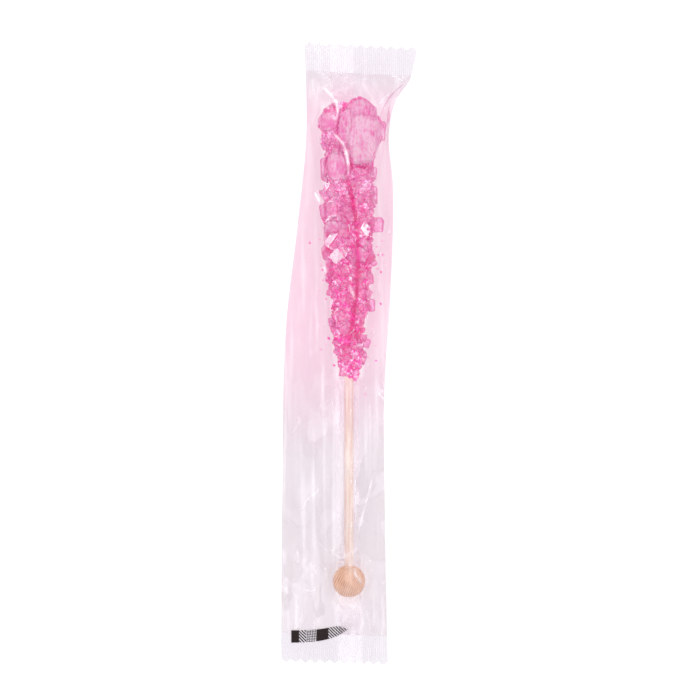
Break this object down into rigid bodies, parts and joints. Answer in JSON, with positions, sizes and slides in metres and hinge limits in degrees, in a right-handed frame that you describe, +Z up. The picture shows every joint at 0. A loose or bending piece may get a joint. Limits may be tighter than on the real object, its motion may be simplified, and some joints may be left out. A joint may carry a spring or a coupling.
{
  "type": "rock candy stick",
  "caption": "Pink rock sugar crystals grown on a wooden stick with a round bead at its end, sealed in a clear film bag with saw-toothed end seals.",
  "frame": {"origin": "middle of the bag's outline seen from above, on the surface it lies on", "axes": "+Y along the bag towards the candy's head, +X across the bag, +Z up from the surface towards the shown side"},
  "size_m": [0.0486, 0.2234, 0.0222],
  "materials": {
    "film": "clear crinkled packaging film, glossy, tinted pink by the candy behind it",
    "rock_sugar": "translucent pink sugar crystals with bright facets",
    "birch": "plain sanded birch, unvarnished",
    "print": "dark printing ink on the film"
  },
  "bodies": {
    "root": {"film_bag": "film"}
  },
  "joints": []
}
